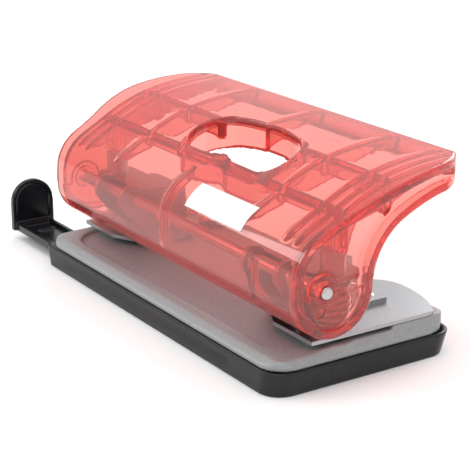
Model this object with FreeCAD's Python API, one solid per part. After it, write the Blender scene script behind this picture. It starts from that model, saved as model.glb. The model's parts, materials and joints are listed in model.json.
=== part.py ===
import FreeCAD, Part
import math
import os
from FreeCAD import Vector

# Compact two-hole desk punch. Millimetres, +X right, +Y to the back (lever lip), +Z up.
# The origin is on the ground, midway between the two punches and midway front to back.

HOLE_PITCH = 80.0
PUNCH_Y = -5.0
PUNCH_X = HOLE_PITCH / 2

# Chip tray, the lowest piece.
TRAY_LENGTH = 92.0
TRAY_DEPTH = 43.6
TRAY_HEIGHT = 4.95
TRAY_DRAFT_END = 0.9
TRAY_DRAFT_BACK = 0.8
TRAY_WALL = 1.0
TRAY_CORNER = 4.8
TRAY_EXIT_CORNER = 1.2
TRAY_DIVIDER = 0.9
TRAY_DIVIDER_TOP = 4.2
TRAY_RIB_TOP = 2.4
TRAY_RIB_SPACING = 22.0
TONGUE_X = (42.5, 43.3)
TONGUE_Y = (1.0, 12.0)
TONGUE_TOP = 5.8

# Base plate that stands on the tray rim.
BASE_LENGTH = 90.8
BASE_DEPTH = 42.8
BASE_BOTTOM = 5.0
BASE_CORNER = 5.0
BASE_SKIN = 1.5
CREST_Z = 7.0
DIE_Z = 7.7
SEAT_Z = 8.5
PAPER_STOP_Y = PUNCH_Y + 12.0
DIE_R = 2.8
DIE_BOSS_R = 5.2
RAIL_X = (-43.2, 41.0)
RAIL_LEDGE = 0.6

# Sheet-metal punch units.
SHEET = 0.8
UNIT_IN = 22.5
UNIT_OUT = 44.1
BRIDGE_OUT = 35.3
BRIDGE_SHEET = 1.0
BRIDGE_TOP = 20.6
EYE_R = 2.6
RIVET_R = 1.2
RIVET_Y = 9.7

# Punches and springs.
PIN_R = 2.75
PIN_HEAD_R = 2.45
PIN_TOP = 25.2
PIN_TIP = 8.6
SHOULDER_Z = 19.45
RING_Z = 18.2
SPRING_R = 3.15
SPRING_WIRE = 0.6
SPRING_TURNS = 6

# Lever on its axle.
AXLE_Y = -10.8
AXLE_Z = 19.3
AXLE_R = 1.25
RUNNING_GAP = 0.05
BARREL_Y = -9.2
BARREL_Z = 19.0
BARREL_R = 8.8
LEVER_HALF = 46.9
LEVER_WING = 49.35
LEVER_BACK = 24.2
LEVER_TOP = 40.1
LEVER_SKIN = 1.8
CHEEK_IN = 43.8
CHEEK_OUT = 44.9
RIM = 1.5
NOSE_R = 2.7
RIB = 1.2
RIB_DEPTH = 3.2
LONG_RIB_X = 25.0
PRESS_RIB_OFFSET = 1.7
CAM_R = 2.5
COLLAR_DEPTH = 7.0
HOLE_X = 3.5
HOLE_Y = 0.7
LABEL_X0 = 7.0
LABEL_X1 = 27.0
LABEL_THICK = 0.1
OVERLAP = 0.3
STRAIGHT = 0.004

# Paper guide, a bar with an upright tab that slides out of the left end.
GUIDE_TAB_X = -66.0
GUIDE_END_X = 22.0
GUIDE_FRONT = -19.7
GUIDE_WIDTH = 9.2
GUIDE_BOTTOM = 2.1
GUIDE_HEIGHT = 1.8
TAB_WIDTH = 10.6
TAB_TOP = 14.2
TAB_SHEET = 1.5

SIDES = {"left": -1, "right": 1}


def box(x0, x1, y0, y1, z0, z1):
    return Part.makeBox(x1 - x0, y1 - y0, z1 - z0, Vector(x0, y0, z0))


def cylinder_z(x, y, r, z0, z1):
    return Part.makeCylinder(r, z1 - z0, Vector(x, y, z0), Vector(0, 0, 1))


def cylinder_x(y, z, r, x0, x1):
    return Part.makeCylinder(r, x1 - x0, Vector(x0, y, z), Vector(1, 0, 0))


def mirror_x(shape):
    return shape.mirror(Vector(0, 0, 0), Vector(1, 0, 0))


def on_side(shape, side):
    return shape if side > 0 else mirror_x(shape)


def both_sides(shape):
    return [shape, mirror_x(shape)]


def solid(shape):
    shape = shape.removeSplitter()
    return shape.Solids[0] if len(shape.Solids) == 1 else shape


def face_yz(points):
    corners = [Vector(0, y, z) for y, z in points]
    return Part.Face(Part.makePolygon(corners + corners[:1]))


def facing_out(shape):
    return shape if shape.Volume > 0 else shape.reversed()


def extrude_yz(face, x0, x1):
    moved = face.copy()
    moved.translate(Vector(x0, 0, 0))
    return facing_out(moved.extrude(Vector(x1 - x0, 0, 0)))


def extrude_xy(face, z0, z1):
    moved = face.copy()
    moved.translate(Vector(0, 0, z0))
    return facing_out(moved.extrude(Vector(0, 0, z1 - z0)))


def rounded_plan(x0, x1, y0, y1, front_r, back_r, z=0.0, front_left_r=None):
    """Rectangle in plan with its own corner radius at the front and at the back."""
    edges = []
    left_r = front_left_r or front_r
    centres = [(x1 - back_r, y1 - back_r, 0, back_r), (x0 + back_r, y1 - back_r, 90, back_r),
               (x0 + left_r, y0 + left_r, 180, left_r), (x1 - front_r, y0 + front_r, 270, front_r)]
    for x, y, start, r in centres:
        edges.append(Part.makeCircle(r, Vector(x, y, z), Vector(0, 0, 1), start, start + 90))
    wire_edges = []
    for this, following in zip(edges, edges[1:] + edges[:1]):
        wire_edges.append(this)
        wire_edges.append(Part.makeLine(this.Vertexes[1].Point, following.Vertexes[0].Point))
    return Part.Wire(wire_edges)


# ---------------------------------------------------------------- chip tray


def tray_shell(inset, z0, z1):
    half = TRAY_LENGTH / 2 - inset
    depth = TRAY_DEPTH / 2 - inset
    corner = TRAY_CORNER - inset
    low = 1 - z0 / TRAY_HEIGHT
    bottom = rounded_plan(-half + TRAY_DRAFT_END * low, half - TRAY_DRAFT_END * low,
                          -depth + 0.2 * low, depth - TRAY_DRAFT_BACK * low, corner, corner, z0,
                          TRAY_EXIT_CORNER)
    top = rounded_plan(-half, half, -depth, depth, corner, corner, z1, TRAY_EXIT_CORNER)
    return Part.makeLoft([bottom, top], True)


def chip_tray():
    tray = tray_shell(0, 0, TRAY_HEIGHT)
    floor = TRAY_WALL
    tray = tray.cut(tray_shell(TRAY_WALL, floor, TRAY_HEIGHT + 0.001))
    back = TRAY_DEPTH / 2 - 2.2
    half = TRAY_LENGTH / 2 - 1.6
    divider_y = GUIDE_FRONT + GUIDE_WIDTH + 2.5
    pieces = [box(-half, half, divider_y, divider_y + TRAY_DIVIDER, floor, TRAY_DIVIDER_TOP)]
    pieces += both_sides(box(*TONGUE_X, *TONGUE_Y, floor, TONGUE_TOP))
    for x in (-TRAY_RIB_SPACING, 0.0, TRAY_RIB_SPACING):
        pieces.append(box(x - 0.4, x + 0.4, divider_y, back, floor, TRAY_RIB_TOP))
    tray = tray.multiFuse(pieces)
    # The guide bar leaves through a notch in the left end wall.
    tray = tray.cut(box(-50, -42, GUIDE_FRONT - 0.4, divider_y - 0.1, 1.2, 10))
    return solid(tray)


# ---------------------------------------------------------------- base plate


def base_top_profile():
    """Side outline: front crest, ramp up to the die land, paper stop, seat for the units."""
    front = -BASE_DEPTH / 2
    back = BASE_DEPTH / 2
    return face_yz([(front, BASE_BOTTOM), (front, BASE_BOTTOM + 0.9), (front + 1.7, CREST_Z),
                    (front + 14.0, DIE_Z), (PAPER_STOP_Y, DIE_Z), (PAPER_STOP_Y, SEAT_Z),
                    (back - 1.4, SEAT_Z), (back, SEAT_Z - 1.4), (back, BASE_BOTTOM)])


def front_recess():
    """Shallow tray in front of the dies: a floor that ramps up to the die land."""
    front = -BASE_DEPTH / 2
    floor = face_yz([(front + 4.0, CREST_Z - 0.9), (front + 15.5, DIE_Z), (front + 15.5, 12),
                     (front + 4.0, 12)])
    plan = Part.Face(rounded_plan(-41.3, 41.3, front + 4.0, front + 19.0, 6.0, 2.0))
    return extrude_yz(floor, -42, 42).common(extrude_xy(plan, 0, 20))


def base_cavity():
    front = -BASE_DEPTH / 2
    half = BASE_LENGTH / 2 - 1.8
    profile = face_yz([(front + 1.8, 0), (front + 1.8, BASE_BOTTOM + 0.2), (front + 13, DIE_Z - BASE_SKIN),
                       (PAPER_STOP_Y + 1.5, DIE_Z - BASE_SKIN), (PAPER_STOP_Y + 1.5, SEAT_Z - BASE_SKIN),
                       (-front - 1.8, SEAT_Z - BASE_SKIN), (-front - 1.8, 0)])
    return extrude_yz(profile, -half, half)


def guide_rails():
    """Two rails with a ledge under the guide bar, hanging below the plate."""
    gap = 0.2
    y0 = GUIDE_FRONT - gap
    y1 = GUIDE_FRONT + GUIDE_WIDTH + gap
    ledge_top = GUIDE_BOTTOM - gap
    rails = []
    for wall, ledge in (((y0 - 0.6, y0), (y0, y0 + 1.1)), ((y1, y1 + 0.9), (y1 - 1.1, y1))):
        rails.append(box(*RAIL_X, *wall, ledge_top - RAIL_LEDGE, BASE_BOTTOM + 1.0))
        rails.append(box(*RAIL_X, *ledge, ledge_top - RAIL_LEDGE, ledge_top))
    return rails


def base_plate():
    half = BASE_LENGTH / 2
    plan = Part.Face(rounded_plan(-half, half, -BASE_DEPTH / 2, BASE_DEPTH / 2, BASE_CORNER, 6.5))
    body = extrude_yz(base_top_profile(), -half, half).common(extrude_xy(plan, 0, 20))
    for side in (-1, 1):
        # Rounded shoulder along each end.
        wedge = Part.Face(Part.makePolygon([Vector(half - 1.7, -30, 9), Vector(half + 1, -30, 9),
                                            Vector(half + 1, -30, 5.9), Vector(half, -30, 5.9),
                                            Vector(half - 1.7, -30, 9)]))
        body = body.cut(on_side(wedge.extrude(Vector(0, 60, 0)), side))
    body = body.cut(front_recess())
    body = body.cut(base_cavity())
    bosses = []
    cuts = []
    for side in (-1, 1):
        x = side * PUNCH_X
        bosses.append(cylinder_z(x, PUNCH_Y, DIE_BOSS_R, BASE_BOTTOM, DIE_Z - 0.1))
        cuts.append(cylinder_z(x, PUNCH_Y, DIE_R, 0, 20))
        cuts.append(cylinder_z(x, PUNCH_Y, DIE_R + 0.4, 0, DIE_Z - BASE_SKIN))
        for x in rivet_places(side):
            bosses.append(cylinder_z(x, RIVET_Y, 2.6, 6.2, SEAT_Z - 0.1))
            cuts.append(cylinder_z(x, RIVET_Y, RIVET_R, 0, 20))
    body = body.multiFuse(bosses + guide_rails())
    for cut in cuts:
        body = body.cut(cut)
    return solid(body)


# ---------------------------------------------------------------- punch units


def rivet_places(side):
    return [side * 26.2, side * 31.8]


def unit_plan():
    """Plan of the flat plate: cut-back tongue in front, rounded lobe at the back."""
    corner = [Vector(UNIT_OUT, 15.7, 0), Vector(43.1, 17.6, 0)]
    crown = Part.Arc(corner[1], Vector(37.0, 20.2, 0), Vector(29.6, 21.1, 0)).toShape()
    shoulder = Part.Arc(Vector(29.6, 21.1, 0), Vector(24.4, 19.1, 0), Vector(UNIT_IN, 15.0, 0)).toShape()
    nose = Part.Arc(corner[0], Vector(43.9, 16.9, 0), corner[1]).toShape()
    front = [Vector(UNIT_IN, 15.0, 0), Vector(UNIT_IN, -7.0, 0), Vector(28.6, -10.6, 0),
             Vector(31.6, -12.2, 0), Vector(UNIT_OUT, -12.2, 0), Vector(UNIT_OUT, 15.7, 0)]
    lines = [Part.makeLine(a, b) for a, b in zip(front, front[1:])]
    return Part.Face(Part.Wire([shoulder] + lines + [nose, crown]))


def guide_plate(side):
    plate = extrude_xy(unit_plan(), SEAT_Z, SEAT_Z + SHEET)
    plate = plate.cut(cylinder_z(PUNCH_X, PUNCH_Y, PIN_R + RUNNING_GAP, 0, 20))
    for x in rivet_places(1):
        plate = plate.cut(cylinder_z(x, RIVET_Y, RIVET_R, 0, 20))
    return on_side(solid(plate), side)


def bridge_ear(x0):
    """Side plate of the bridge with a round eye for the axle."""
    plate = face_yz([(-7.5, SEAT_Z + SHEET), (3.2, SEAT_Z + SHEET), (3.2, BRIDGE_TOP),
                     (AXLE_Y, BRIDGE_TOP), (AXLE_Y - EYE_R + 0.4, 18.0)])
    ear = extrude_yz(plate, x0, x0 + BRIDGE_SHEET)
    return ear.fuse(cylinder_x(AXLE_Y, AXLE_Z, EYE_R, x0, x0 + BRIDGE_SHEET))


def bridge(side):
    """One bent sheet: two ears, a top with a tongue around the punch, a back wall and a foot."""
    seat = SEAT_Z + SHEET
    top_z = BRIDGE_TOP - BRIDGE_SHEET
    tongue = Part.Face(rounded_plan(30.0, 43.2, AXLE_Y + 2.0, 0.4, 1.5, 1.5))
    parts = [bridge_ear(UNIT_IN + BRIDGE_SHEET), bridge_ear(BRIDGE_OUT - BRIDGE_SHEET),
             box(UNIT_IN + BRIDGE_SHEET, BRIDGE_OUT, AXLE_Y + 2.0, 3.2, top_z, BRIDGE_TOP),
             extrude_xy(tongue, top_z, BRIDGE_TOP),
             box(UNIT_IN + BRIDGE_SHEET, BRIDGE_OUT, 2.2, 3.2, seat, BRIDGE_TOP),
             box(UNIT_IN + BRIDGE_SHEET, BRIDGE_OUT, 2.2, 12.4, seat, seat + BRIDGE_SHEET)]
    sheet = parts[0].multiFuse(parts[1:])
    sheet = sheet.cut(cylinder_x(AXLE_Y, AXLE_Z, AXLE_R, 0, 60))
    sheet = sheet.cut(cylinder_z(PUNCH_X, PUNCH_Y, PIN_HEAD_R + RUNNING_GAP, 15, 30))
    for x in rivet_places(1):
        sheet = sheet.cut(cylinder_z(x, RIVET_Y, RIVET_R, 0, 15))
    return on_side(solid(sheet), side)


def rivets(side):
    """Two rivets through foot, plate and base, each with a domed head."""
    seat = SEAT_Z + SHEET + BRIDGE_SHEET
    made = []
    for x in rivet_places(side):
        shank = cylinder_z(x, RIVET_Y, RIVET_R, 6.2, seat)
        tail = cylinder_z(x, RIVET_Y, 1.9, 5.5, 6.2)
        dome = Part.makeSphere(2.9, Vector(x, RIVET_Y, seat - 2.0))
        head = dome.common(box(x - 4, x + 4, RIVET_Y - 4, RIVET_Y + 4, seat, seat + 4))
        made.append(solid(shank.multiFuse([tail, head])))
    return Part.makeCompound(made)


def punch_pin(side):
    x = side * PUNCH_X
    body = cylinder_z(x, PUNCH_Y, PIN_R, PIN_TIP, SHOULDER_Z)
    neck = cylinder_z(x, PUNCH_Y, PIN_HEAD_R, SHOULDER_Z, PIN_TOP)
    pin = body.fuse(neck)
    # Ring groove, and the shallow vee across the cutting face.
    groove = cylinder_z(x, PUNCH_Y, PIN_R + 1, RING_Z, RING_Z + 0.6)
    pin = pin.cut(groove.cut(cylinder_z(x, PUNCH_Y, PIN_R - 0.5, 0, 30)))
    vee = face_yz([(PUNCH_Y - 4, PIN_TIP - 0.1), (PUNCH_Y, PIN_TIP + 1.0), (PUNCH_Y + 4, PIN_TIP - 0.1)])
    pin = pin.cut(extrude_yz(vee, x - 4, x + 4))
    return solid(pin)


def pin_ring(side):
    """Snap ring in the punch groove; the spring pushes on it."""
    x = side * PUNCH_X
    ring = cylinder_z(x, PUNCH_Y, 3.4, RING_Z, RING_Z + 0.6)
    ring = ring.cut(cylinder_z(x, PUNCH_Y, PIN_R - 0.5, 0, 30))
    return solid(ring.cut(box(x - 0.8, x + 0.8, PUNCH_Y - 5, PUNCH_Y - 1, 0, 30)))


def punch_spring(side):
    """Compression spring between the guide plate and the ring."""
    x = side * PUNCH_X
    wire_r = SPRING_WIRE / 2
    z0 = SEAT_Z + SHEET + wire_r + 0.02
    z1 = RING_Z - wire_r - 0.02
    helix = Part.makeHelix((z1 - z0) / SPRING_TURNS, z1 - z0, SPRING_R)
    start = helix.Vertexes[0].Point
    section = Part.Wire(Part.makeCircle(wire_r, start, Vector(0, 1, 0)))
    coil = Part.Wire(helix.Edges).makePipeShell([section], True, True)
    coil.translate(Vector(x, PUNCH_Y, z0))
    return coil.Solids[0] if coil.Solids else coil


def axle():
    rod = cylinder_x(AXLE_Y, AXLE_Z, AXLE_R, -LEVER_HALF, LEVER_HALF)
    return rod.makeChamfer(0.25, [e for e in rod.Edges if e.Curve.TypeId == "Part::GeomCircle"])


# ---------------------------------------------------------------- lever


def tangent_chain(start, heading, points):
    """Arcs in the YZ plane, each leaving along the heading that the last one ended with."""
    edges = []
    here = Vector(0, *start)
    heading = Vector(0, *heading).normalize()
    for point in points:
        there = Vector(0, *point)
        chord = there - here
        along = Vector(chord).normalize()
        turn = heading.getAngle(along)
        if turn < STRAIGHT:
            edges.append(Part.makeLine(here, there))
        else:
            side = (heading - along * heading.dot(along)).normalize()
            middle = here + chord * 0.5 + side * (chord.Length / 2 * math.tan(turn / 2))
            edges.append(Part.Arc(here, middle, there).toShape())
        heading = along * (2 * heading.dot(along)) - heading
        here = there
    return edges


def turned_to_plan(edges):
    """Lay a YZ chain down into the XY plane: its first coordinate becomes X, its second Y."""
    to_plan = FreeCAD.Matrix(0, 1, 0, 0, 0, 0, 1, 0, 1, 0, 0, 0)
    return [edge.transformed(to_plan) for edge in edges]


def lever_outline():
    """Side outline: round barrel, steep front, swept top, rounded nose, curved underside."""
    bottom = (BARREL_Y, BARREL_Z - BARREL_R)
    return tangent_chain(bottom, (-1, 0), [
        (BARREL_Y - BARREL_R, BARREL_Z), (BARREL_Y - BARREL_R, 21.7), (-12.9, 30.3), (-6.3, 34.05),
        (5.2, 38.55), (19.7, LEVER_TOP), (LEVER_BACK - NOSE_R, LEVER_TOP), (LEVER_BACK, LEVER_TOP - NOSE_R),
        (LEVER_BACK - NOSE_R, LEVER_TOP - 2 * NOSE_R), (13.6, 33.5), (6.6, 30.58),
        (BARREL_Y + BARREL_R, BARREL_Z), bottom])


def outline_face(inset):
    face = Part.Face(Part.Wire(lever_outline()))
    return Part.Face(face.makeOffset2D(-inset).Wires[0]) if inset else face


def lever_slab(inset, x0, x1):
    return extrude_yz(outline_face(inset), x0, x1)


def band(outer, inner, x0, x1):
    """Part of the wall between two insets of the side outline."""
    return lever_slab(outer, x0, x1).cut(lever_slab(inner, x0 - 1, x1 + 1))


def lever_plan():
    """Plan outline: the top plate swells past the cheeks and rounds into the back edge."""
    half = LEVER_HALF
    back = LEVER_BACK
    swell = [(48.0, -6.5), (LEVER_WING, 2.9), (47.0, 16.4), (36.0, back)]
    right = tangent_chain((half, -14.0), (0, 1), swell)
    left = tangent_chain((-half, -14.0), (0, 1), [(-x, y) for x, y in swell])
    front = [Vector(half, -14, 0), Vector(half, -25, 0), Vector(-half, -25, 0), Vector(-half, -14, 0)]
    lines = [Part.makeLine(a, b) for a, b in zip(front, front[1:])]
    lines.append(Part.makeLine(Vector(-36, back, 0), Vector(36, back, 0)))
    edges = turned_to_plan(right + left) + lines
    return extrude_xy(Part.Face(Part.Wire(Part.__sortEdges__(edges))), 0, 60)


def skin_zone():
    """Where the lever has an outer wall: front, top and back lip, but no underside."""
    return extrude_yz(face_yz([(-30, 0), (-12.8, 0), (-12.8, 14.5), (-8, 24), (2.2, 31.5), (13, 36.2),
                               (21.7, 37), (21.7, 30), (30, 30), (30, 50), (-30, 50)]), -60, 60)


def lever_walls():
    """Outer wall, the two cheeks and the raised rim round each cheek."""
    plan = lever_plan()
    walls = [band(0, LEVER_SKIN, -LEVER_WING - 1, LEVER_WING + 1).common(skin_zone())]
    walls += both_sides(lever_slab(0, CHEEK_IN, CHEEK_OUT))
    walls += both_sides(band(0, RIM, CHEEK_OUT - 0.1, LEVER_HALF))
    return [wall.common(plan) for wall in walls]


def rib_zone():
    return extrude_yz(face_yz([(-25, 27.3), (-10.5, 27.3), (2.2, 31.0), (14.2, 34.6), (23.0, 35.2),
                               (23.0, 50), (-25, 50)]), -60, 60)


def hanging_rib(x, thick, depth, zone):
    """Rib that follows the inside of the top plate."""
    return band(LEVER_SKIN - OVERLAP, LEVER_SKIN + depth, x - thick / 2, x + thick / 2).common(zone)


def long_ribs():
    """Front-to-back ribs that follow the top plate."""
    ribs = [hanging_rib(x, RIB, RIB_DEPTH, rib_zone()) for x in (-LONG_RIB_X, LONG_RIB_X)]
    ribs.append(hanging_rib(0, RIB, RIB_DEPTH + 1.0, rib_zone().common(box(-5, 5, 6.5, 30, 0, 60))))
    ribs.append(hanging_rib(-1.5, 1.0, 2.0, box(-5, 5, -20, -8.5, 16.5, 40)))
    ribs.append(hanging_rib(31.5, 0.8, 1.6, box(30, 36, -20, -13.2, 13.5, 22.4)))
    return ribs


def press_ribs():
    """Rib pair over each punch; a round cam on the lower edge pushes the punch head."""
    cam_z = PIN_TOP + RUNNING_GAP + CAM_R
    web_face = face_yz([(PUNCH_Y - CAM_R, cam_z), (-12.0, 28.6), (-12.0, 30.0), (-4.0, 36.0),
                        (1.6, 36.0), (PUNCH_Y + CAM_R, cam_z)])
    ribs = []
    for x in (PUNCH_X - PRESS_RIB_OFFSET, PUNCH_X + PRESS_RIB_OFFSET):
        web = extrude_yz(web_face, x - RIB / 2, x + RIB / 2).common(lever_slab(LEVER_SKIN - OVERLAP, -60, 60))
        cam = cylinder_x(PUNCH_Y, cam_z, CAM_R, x - RIB / 2, x + RIB / 2)
        for shape in (hanging_rib(x, RIB, RIB_DEPTH, rib_zone()), web, cam):
            ribs += both_sides(shape)
    return ribs


def cross_ribs():
    """Side-to-side ribs; both are deeper beside the cheeks."""
    inside = lever_slab(LEVER_SKIN - OVERLAP, -CHEEK_IN - OVERLAP, CHEEK_IN + OVERLAP)
    ribs = []
    for y, low, deep in ((-5.6, 30.0, PIN_TOP + 0.4), (4.7, 33.6, 30.6)):
        ribs.append(box(-CHEEK_IN, CHEEK_IN, y - RIB / 2, y + RIB / 2, low, 45))
        ribs += both_sides(box(36.0, CHEEK_IN + 1, y - RIB / 2, y + RIB / 2, deep, 45))
    return [rib.common(inside) for rib in ribs]


def finger_hole(grow, z0, z1):
    """Kidney-shaped opening: long across the lever, dented in the middle of its front edge."""
    right = [(11.0, 5.1), (16.3, -2.0), (11.9, -6.4), (4.8, -6.3), (2.3, -5.8), (0, -5.4)]
    left = [(-x, y) for x, y in reversed(right[:-1])]
    loop = tangent_chain((0, 6.7), (1, 0), right + left + [(0, 6.7)])
    face = Part.Face(Part.Wire(turned_to_plan(loop)))
    face.translate(Vector(HOLE_X, HOLE_Y, 0))
    if grow:
        face = Part.Face(face.makeOffset2D(grow).Wires[0])
    return extrude_xy(face, z0, z1)


def finger_collar():
    """Wall round the opening that hangs from the top plate to an even depth."""
    below = lever_slab(0, -31, 36)
    below.translate(Vector(0, 0, -COLLAR_DEPTH))
    depth = lever_slab(LEVER_SKIN - OVERLAP, -30, 35).cut(below)
    return finger_hole(RIB, 25, 50).common(depth)


def cheek_details():
    """Axle boss, its arched backing, the half-round pad and a small moulded stud."""
    face = CHEEK_OUT - 0.1
    pad = cylinder_x(BARREL_Y, BARREL_Z, BARREL_R - RIM + 0.2, face, CHEEK_OUT + 0.6)
    made = [cylinder_x(AXLE_Y, AXLE_Z, 1.95, face, LEVER_HALF - 0.5),
            cylinder_x(AXLE_Y, AXLE_Z, 3.3, face, CHEEK_OUT + 0.9),
            pad.common(box(0, 60, -30, 30, 0, BARREL_Z - 0.7)),
            cylinder_x(AXLE_Y - 0.9, AXLE_Z - 3.9, 0.8, face, CHEEK_OUT + 1.0)]
    return [side for shape in made for side in both_sides(shape)]


def handle():
    additions = long_ribs() + press_ribs() + cross_ribs() + cheek_details() + [finger_collar()]
    walls = lever_walls()
    lever = walls[0].multiFuse(walls[1:] + additions)
    lever = lever.cut(finger_hole(0, 20, 50))
    lever = lever.cut(cylinder_x(AXLE_Y, AXLE_Z, AXLE_R + RUNNING_GAP, -60, 60))
    return solid(lever)


def label_panel():
    """Thin plain label on the steep front of the lever, to the right of the finger hole."""
    outside = Part.Face(Part.Face(Part.Wire(lever_outline())).makeOffset2D(0.02 + LABEL_THICK).Wires[0])
    gap = Part.Face(Part.Face(Part.Wire(lever_outline())).makeOffset2D(0.02).Wires[0])
    skin = extrude_yz(outside, LABEL_X0, LABEL_X1).cut(extrude_yz(gap, 0, 60))
    return solid(skin.common(box(0, 60, -17.0, -10.0, 26.8, 30.7)))


# ---------------------------------------------------------------- paper guide


def paper_guide():
    y0 = GUIDE_FRONT
    y1 = GUIDE_FRONT + GUIDE_WIDTH
    top = GUIDE_BOTTOM + GUIDE_HEIGHT
    bar = box(GUIDE_TAB_X - 1, GUIDE_END_X, y0, y1, GUIDE_BOTTOM, top)
    trough = box(GUIDE_TAB_X + 1.0, GUIDE_END_X - 2.0, y0 + 1.1, y1 - 1.1, top - 0.9, top + 1)
    bar = bar.cut(trough)
    tab_y = (y0 + y1) / 2
    tab_r = TAB_WIDTH / 2
    tab = box(GUIDE_TAB_X - TAB_SHEET, GUIDE_TAB_X, tab_y - tab_r, tab_y + tab_r, GUIDE_BOTTOM,
              TAB_TOP - tab_r)
    tab = tab.fuse(cylinder_x(tab_y, TAB_TOP - tab_r, tab_r, GUIDE_TAB_X - TAB_SHEET, GUIDE_TAB_X))
    dish = box(GUIDE_TAB_X - 0.5, GUIDE_TAB_X + 1, tab_y - tab_r + 0.9, tab_y + tab_r - 0.9, top,
               TAB_TOP - tab_r)
    dish = dish.fuse(cylinder_x(tab_y, TAB_TOP - tab_r, tab_r - 0.9, GUIDE_TAB_X - 0.5, GUIDE_TAB_X + 1))
    pad = box(GUIDE_TAB_X + 3.5, GUIDE_TAB_X + 6.5, tab_y - 1.6, tab_y + 2.4, top - 1.0, top - 0.4)
    return solid(bar.multiFuse([tab, pad]).cut(dish))


def write(name, shape):
    os.makedirs("parts", exist_ok=True)
    shape.exportStep("parts/" + name + ".step")
    print(name, len(shape.Solids), round(shape.Volume, 1), shape.isValid())


write("chip_tray", chip_tray())
write("base_plate", base_plate())
write("axle", axle())
write("handle", handle())
write("label_panel", label_panel())
write("paper_guide", paper_guide())
for name, side in SIDES.items():
    write("guide_plate_" + name, guide_plate(side))
    write("bridge_" + name, bridge(side))
    write("rivets_" + name, rivets(side))
    write("punch_pin_" + name, punch_pin(side))
    write("pin_ring_" + name, pin_ring(side))
    write("punch_spring_" + name, punch_spring(side))
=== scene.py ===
import json
import math

import bpy
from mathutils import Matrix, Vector


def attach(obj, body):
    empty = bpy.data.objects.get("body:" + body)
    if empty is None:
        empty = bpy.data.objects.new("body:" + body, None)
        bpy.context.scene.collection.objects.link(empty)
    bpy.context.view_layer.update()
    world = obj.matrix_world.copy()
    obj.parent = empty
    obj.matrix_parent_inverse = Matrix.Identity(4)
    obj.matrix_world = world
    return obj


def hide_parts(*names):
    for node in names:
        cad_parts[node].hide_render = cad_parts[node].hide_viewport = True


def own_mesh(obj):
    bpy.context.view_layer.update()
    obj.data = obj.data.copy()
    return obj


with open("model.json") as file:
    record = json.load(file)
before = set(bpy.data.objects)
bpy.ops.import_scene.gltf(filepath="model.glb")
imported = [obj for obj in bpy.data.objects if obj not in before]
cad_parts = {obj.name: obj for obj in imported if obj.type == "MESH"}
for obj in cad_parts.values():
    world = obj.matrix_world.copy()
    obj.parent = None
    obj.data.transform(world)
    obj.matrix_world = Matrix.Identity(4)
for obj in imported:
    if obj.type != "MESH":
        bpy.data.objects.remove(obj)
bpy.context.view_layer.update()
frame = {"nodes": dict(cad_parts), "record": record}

NODES = frame["nodes"]
MM = 0.001
FLAT_WELD = 1e-6

# Camera: looks down on the punch from its front right.
CAMERA_PLACE = (0.2460, -0.1617, 0.1130)
CAMERA_AZIMUTH = math.radians(56.7)
CAMERA_ELEVATION = math.radians(18.3)
CAMERA_LENS = 113.0
CAMERA_SENSOR = 36.0

# Dark band in the tray's front wall, where the paper guide and its rails show through.
BAND_CENTRE = (-3.75 * MM, 2.6 * MM)
BAND_HALF = (34.25 * MM, 1.0 * MM)
BAND_SOFT = 0.25 * MM
BAND_BEHIND_Y = -20.0 * MM

# Edge rounds of the parts that keep their CAD shape, in mm.
EDGE_ROUNDS = {"guide_plate": 0.16, "bridge": 0.14, "rivets": 0.1, "axle": 0.08, "punch_pin": 0.1,
               "pin_ring": 0.06, "label_panel": 0.02}
EDGE_ANGLE = math.radians(35)

# Moulded parts: voxel in mm, smoothing passes, share of the faces kept.
MOULDED = {"handle": (0.3, 4, 0.6), "paper_guide": (0.2, 4, 0.3), "chip_tray": (0.25, 4, 0.3),
           "base_plate": (0.3, 8, 0.3)}

FLOOR_REACH = 6.0
FLOOR_DROP = 0.02 * MM


# ------------------------------------------------------------------ node helpers


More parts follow.
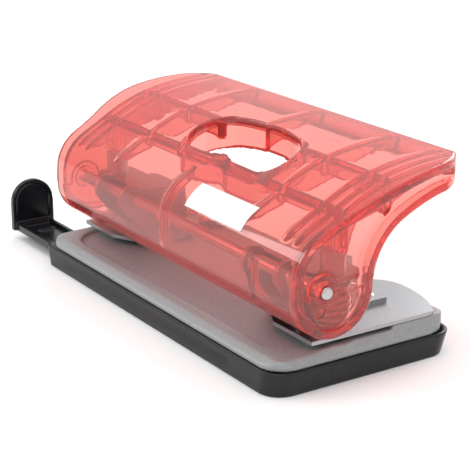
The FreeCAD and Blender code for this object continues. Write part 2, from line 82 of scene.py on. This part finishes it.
class Nodes:
    """A material's node tree with short calls to add and join nodes."""

    def __init__(self, name):
        self.material = bpy.data.materials.new(name)
        self.material.use_nodes = True
        self.tree = self.material.node_tree
        self.shader = self.tree.nodes["Principled BSDF"]
        self.output = self.tree.nodes["Material Output"]
        self.place = self.add("ShaderNodeTexCoord").outputs["Object"]

    def add(self, kind, **values):
        node = self.tree.nodes.new(kind)
        for key, value in values.items():
            setattr(node, key, value)
        return node

    def join(self, source, target):
        self.tree.links.new(source, target)

    def set(self, **values):
        for key, value in values.items():
            self.shader.inputs[key.replace("_", " ")].default_value = value

    def stretched(self, scale):
        mapping = self.add("ShaderNodeMapping")
        mapping.inputs["Scale"].default_value = scale
        self.join(self.place, mapping.inputs["Vector"])
        return mapping.outputs["Vector"]

    def noise(self, scale, detail=3.0, rough=0.5, vector=None):
        node = self.add("ShaderNodeTexNoise")
        node.inputs["Scale"].default_value = scale
        node.inputs["Detail"].default_value = detail
        node.inputs["Roughness"].default_value = rough
        self.join(vector or self.place, node.inputs["Vector"])
        return node.outputs["Fac"]

    def ramp(self, source, stops):
        node = self.add("ShaderNodeValToRGB")
        elements = node.color_ramp.elements
        while len(elements) < len(stops):
            elements.new(0.5)
        for element, (at, colour) in zip(elements, stops):
            element.position = at
            element.color = (*colour, 1)
        self.join(source, node.inputs["Fac"])
        return node.outputs["Color"]

    def remap(self, source, low, high):
        node = self.add("ShaderNodeMapRange")
        node.inputs["To Min"].default_value = low
        node.inputs["To Max"].default_value = high
        self.join(source, node.inputs["Value"])
        return node.outputs["Result"]

    def bump(self, height, strength, distance):
        node = self.add("ShaderNodeBump")
        node.inputs["Strength"].default_value = strength
        node.inputs["Distance"].default_value = distance
        self.join(height, node.inputs["Height"])
        self.join(node.outputs["Normal"], self.shader.inputs["Normal"])

    def math(self, operation, a, b=0.0):
        node = self.add("ShaderNodeMath", operation=operation)
        for socket, value in zip(node.inputs, (a, b)):
            if isinstance(value, float):
                socket.default_value = value
            else:
                self.join(value, socket)
        return node.outputs["Value"]

    def slot_mask(self, centre, half, soft, behind_y):
        """1 inside a long round-ended slot in the XZ plane in front of behind_y, 0 outside it."""
        split = self.add("ShaderNodeSeparateXYZ")
        self.join(self.place, split.inputs["Vector"])
        along = self.math("ABSOLUTE", self.math("SUBTRACT", split.outputs["X"], centre[0]))
        past = self.math("MAXIMUM", self.math("SUBTRACT", along, half[0] - half[1]), 0.0)
        up = self.math("SUBTRACT", split.outputs["Z"], centre[1])
        away = self.math("SQRT", self.math("ADD", self.math("MULTIPLY", past, past),
                                           self.math("MULTIPLY", up, up)))
        edge = self.add("ShaderNodeMapRange")
        self.join(away, edge.inputs["Value"])
        edge.inputs["From Min"].default_value = half[1] - soft
        edge.inputs["From Max"].default_value = half[1] + soft
        edge.inputs["To Min"].default_value = 1.0
        edge.inputs["To Max"].default_value = 0.0
        front = self.math("LESS_THAN", split.outputs["Y"], behind_y)
        return self.math("MULTIPLY", edge.outputs["Result"], front)

    def absorb(self, colour, density):
        volume = self.add("ShaderNodeVolumeAbsorption")
        volume.inputs["Color"].default_value = (*colour, 1)
        volume.inputs["Density"].default_value = density
        self.join(volume.outputs["Volume"], self.output.inputs["Volume"])

    def let_lamps_through(self):
        """Lamp light passes straight through the plastic, tinted only by a volume it crosses."""
        clear = self.add("ShaderNodeBsdfTransparent")
        path = self.add("ShaderNodeLightPath")
        mix = self.add("ShaderNodeMixShader")
        self.join(path.outputs["Is Shadow Ray"], mix.inputs["Fac"])
        self.join(self.shader.outputs["BSDF"], mix.inputs[1])
        self.join(clear.outputs["BSDF"], mix.inputs[2])
        self.join(mix.outputs["Shader"], self.output.inputs["Surface"])


# ------------------------------------------------------------------ materials


def red_plastic():
    """Clear red moulded plastic: tint comes from depth, so edges and ribs go dark red, helped by a faint
    painted red glow.
    """
    m = Nodes("red_plastic")
    m.set(Transmission_Weight=0.93, IOR=1.5)
    m.join(m.ramp(m.noise(60, 2.0), [(0.3, (0.84, 0.53, 0.48)), (0.7, (0.87, 0.57, 0.52))]),
           m.shader.inputs["Base Color"])
    m.join(m.remap(m.noise(220, 2.0), 0.01, 0.05), m.shader.inputs["Roughness"])
    m.bump(m.noise(90, 2.0), 0.05, 0.0004)
    # A faint painted red glow, emitted by the plastic though it is no lamp, stands in for light lost in
    # deep stacks of ribs and keeps them dark red, not black.
    m.set(Emission_Strength=0.035)
    m.shader.inputs["Emission Color"].default_value = (0.75, 0.02, 0.02, 1)
    m.absorb((0.955, 0.10, 0.03), 400)
    m.let_lamps_through()
    return m.material


def smoke_plastic():
    """Smoke-grey see-through plastic with faint moulding haze."""
    m = Nodes("smoke_plastic")
    m.set(Transmission_Weight=0.5, IOR=1.35, Specular_IOR_Level=0.25)
    smoke = m.ramp(m.noise(60, 3.0), [(0.3, (0.03, 0.033, 0.034)), (0.7, (0.045, 0.048, 0.05))])
    behind = m.ramp(m.noise(300, 2.0), [(0.3, (0.012, 0.011, 0.011)), (0.7, (0.022, 0.020, 0.020))])
    mix = m.add("ShaderNodeMix", data_type="RGBA")
    m.join(m.slot_mask(BAND_CENTRE, BAND_HALF, BAND_SOFT, BAND_BEHIND_Y), mix.inputs["Factor"])
    m.join(smoke, mix.inputs["A"])
    m.join(behind, mix.inputs["B"])
    m.join(mix.outputs["Result"], m.shader.inputs["Base Color"])
    m.join(m.remap(m.noise(900, 2.0), 0.16, 0.3), m.shader.inputs["Roughness"])
    m.bump(m.noise(2600, 2.0), 0.06, 0.00005)
    m.let_lamps_through()
    return m.material


def silver_plate():
    """Satin silver lacquer with a fine metallic grain."""
    m = Nodes("silver_plate")
    m.set(Metallic=0.35)
    m.join(m.ramp(m.noise(5200, 3.0, 0.7), [(0.3, (0.20, 0.215, 0.22)), (0.52, (0.30, 0.315, 0.32)),
                                            (0.75, (0.46, 0.47, 0.475))]), m.shader.inputs["Base Color"])
    m.join(m.remap(m.noise(4200, 2.0), 0.4, 0.58), m.shader.inputs["Roughness"])
    m.bump(m.noise(4600, 3.0, 0.65), 0.16, 0.00005)
    return m.material


def bright_steel():
    """Plated steel sheet with faint drawn lines."""
    m = Nodes("bright_steel")
    m.set(Metallic=1.0)
    m.shader.inputs["Base Color"].default_value = (0.4, 0.4, 0.415, 1)
    lines = m.noise(320, 3.0, 0.6, m.stretched((1, 14, 14)))
    m.join(m.remap(lines, 0.2, 0.4), m.shader.inputs["Roughness"])
    m.bump(m.noise(3600, 3.0), 0.1, 0.00004)
    return m.material


def hard_steel(name, colour, rough):
    """Ground or plated steel of the small hardware, with turning marks."""
    m = Nodes(name)
    m.set(Metallic=1.0)
    m.join(m.ramp(m.noise(700, 2.0), [(0.3, [0.86 * c for c in colour]), (0.7, colour)]),
           m.shader.inputs["Base Color"])
    marks = m.noise(900, 2.0, 0.5, m.stretched((1, 1, 6)))
    m.join(m.remap(marks, rough, rough + 0.14), m.shader.inputs["Roughness"])
    m.bump(marks, 0.08, 0.00003)
    return m.material


def white_label():
    """Plain white printed film."""
    m = Nodes("white_label")
    m.join(m.ramp(m.noise(1500, 2.0), [(0.3, (0.84, 0.82, 0.82)), (0.7, (0.92, 0.9, 0.9))]),
           m.shader.inputs["Base Color"])
    m.join(m.remap(m.noise(500, 2.0), 0.3, 0.42), m.shader.inputs["Roughness"])
    return m.material


def black_plastic():
    """Glossy black moulded plastic."""
    m = Nodes("black_plastic")
    m.set(Specular_IOR_Level=0.35)
    m.join(m.ramp(m.noise(120, 2.0), [(0.3, (0.003, 0.0045, 0.006)), (0.7, (0.006, 0.009, 0.011))]),
           m.shader.inputs["Base Color"])
    m.join(m.remap(m.noise(600, 3.0), 0.16, 0.3), m.shader.inputs["Roughness"])
    m.bump(m.noise(1800, 2.0), 0.06, 0.00005)
    return m.material


SLOTS = {
    "red_plastic": red_plastic(),
    "smoke_plastic": smoke_plastic(),
    "silver_plate": silver_plate(),
    "bright_steel": bright_steel(),
    "hardware_steel": hard_steel("hardware_steel", (0.52, 0.52, 0.53), 0.16),
    "tool_steel": hard_steel("tool_steel", (0.55, 0.54, 0.55), 0.18),
    "spring_steel": hard_steel("spring_steel", (0.62, 0.62, 0.64), 0.18),
    "white_label": white_label(),
    "black_plastic": black_plastic(),
}
SLOT_OF = {part["node"]: part["material_slot"] for part in frame["record"]["subparts"]}
BODY_OF = {node: body for body, members in frame["record"]["behaviour"]["bodies"].items()
           for node in members}


# ------------------------------------------------------------------ pieces


def piece_from(name, mesh, stands_for):
    """New piece in place of a CAD node, with that node's material and body."""
    piece = bpy.data.objects.new(name, mesh)
    bpy.context.scene.collection.objects.link(piece)
    mesh.materials.clear()
    mesh.materials.append(SLOTS[SLOT_OF[stands_for]])
    for polygon in mesh.polygons:
        polygon.use_smooth = True
    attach(piece, BODY_OF[stands_for])
    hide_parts(stands_for)
    return piece


def moulded(node, voxel, passes, keep):
    """The node's shape as one skin with soft moulded edges and small fillets."""
    work = bpy.data.objects.new("work", NODES[node].data.copy())
    bpy.context.scene.collection.objects.link(work)
    weld = work.modifiers.new("weld", "WELD")
    weld.merge_threshold = FLAT_WELD
    skin = work.modifiers.new("skin", "REMESH")
    skin.mode = "VOXEL"
    skin.voxel_size = voxel
    soft = work.modifiers.new("soft", "SMOOTH")
    soft.factor = 0.5
    soft.iterations = passes
    lighter = work.modifiers.new("lighter", "DECIMATE")
    lighter.ratio = keep
    graph = bpy.context.evaluated_depsgraph_get()
    mesh = bpy.data.meshes.new_from_object(work.evaluated_get(graph))
    bpy.data.objects.remove(work)
    piece_from(node + "_moulded", mesh, node)


def finish_sheet_parts():
    """CAD nodes that keep their shape get small edge rounds and their material."""
    for name, node in NODES.items():
        node.data.materials.clear()
        node.data.materials.append(SLOTS[SLOT_OF[name]])
        width = next((w for start, w in EDGE_ROUNDS.items() if name.startswith(start)), None)
        if width:
            weld = node.modifiers.new("weld", "WELD")
            weld.merge_threshold = FLAT_WELD
            bevel = node.modifiers.new("edge", "BEVEL")
            bevel.width = width * MM
            bevel.segments = 2
            bevel.limit_method = "ANGLE"
            bevel.angle_limit = EDGE_ANGLE
            bevel.harden_normals = True


def squeezed_spring(side):
    """The coil as a piece of its own, a copy of the CAD node's mesh with that node's material and body.
    """
    node = "punch_spring_" + side
    coil = piece_from(node + "_coil", NODES[node].data.copy(), node)
    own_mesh(coil)


finish_sheet_parts()
for name in ("left", "right"):
    squeezed_spring(name)
for name, (voxel, passes, keep) in MOULDED.items():
    moulded(name, voxel * MM, passes, keep)


# ------------------------------------------------------------------ stage


def stage():
    """Plain pale floor, a hair below the punch."""
    floor_mesh = bpy.data.meshes.new("floor")
    r = FLOOR_REACH
    floor_mesh.from_pydata([(-r, -r, 0), (r, -r, 0), (r, r, 0), (-r, r, 0)], [], [(0, 1, 2, 3)])
    floor = bpy.data.objects.new("floor", floor_mesh)
    bpy.context.scene.collection.objects.link(floor)
    floor.location.z = -FLOOR_DROP
    m = Nodes("pale_floor")
    m.join(m.ramp(m.noise(4, 2.0), [(0.3, (0.9, 0.9, 0.9)), (0.7, (0.92, 0.92, 0.92))]),
           m.shader.inputs["Base Color"])
    m.set(Roughness=0.9)
    floor_mesh.materials.append(m.material)


def area_light(name, place, aim, size, power):
    data = bpy.data.lights.new(name, "AREA")
    data.shape = "RECTANGLE"
    data.size, data.size_y = size
    data.energy = power
    lamp = bpy.data.objects.new(name, data)
    bpy.context.scene.collection.objects.link(lamp)
    lamp.location = place
    lamp.rotation_euler = (Vector(aim) - Vector(place)).to_track_quat("-Z", "Y").to_euler()


def lights():
    """White surroundings, greyer below the horizon, and three soft lamps."""
    world = bpy.data.worlds.new("studio")
    bpy.context.scene.world = world
    world.use_nodes = True
    tree = world.node_tree
    place = tree.nodes.new("ShaderNodeTexCoord")
    split = tree.nodes.new("ShaderNodeSeparateXYZ")
    ramp = tree.nodes.new("ShaderNodeValToRGB")
    elements = ramp.color_ramp.elements
    elements[0].position, elements[0].color = 0.0, (0.8, 0.8, 0.81, 1)
    elements[1].position, elements[1].color = 0.6, (1, 1, 1, 1)
    tree.links.new(place.outputs["Generated"], split.inputs["Vector"])
    tree.links.new(split.outputs["Z"], ramp.inputs["Fac"])
    tree.links.new(ramp.outputs["Color"], tree.nodes["Background"].inputs["Color"])
    tree.nodes["Background"].inputs["Strength"].default_value = 0.95
    middle = (0, 0, 0.02)
    area_light("overhead", (0.1, -0.1, 0.75), middle, (0.5, 0.5), 1.6)
    area_light("front_left", (-0.5, -0.55, 0.4), middle, (0.4, 0.3), 1.6)
    area_light("behind", (-0.25, 0.6, 0.35), middle, (0.5, 0.3), 1.6)


def camera():
    flat = math.cos(CAMERA_ELEVATION)
    back = Vector((math.sin(CAMERA_AZIMUTH) * flat, -math.cos(CAMERA_AZIMUTH) * flat,
                   math.sin(CAMERA_ELEVATION)))
    data = bpy.data.cameras.new("camera")
    data.lens = CAMERA_LENS
    data.sensor_width = CAMERA_SENSOR
    data.clip_start = 0.01
    cam = bpy.data.objects.new("camera", data)
    bpy.context.scene.collection.objects.link(cam)
    cam.location = CAMERA_PLACE
    cam.rotation_euler = (-back).to_track_quat("-Z", "Y").to_euler()
    bpy.context.scene.camera = cam


stage()
lights()
camera()
bpy.context.scene.view_settings.view_transform = "Standard"
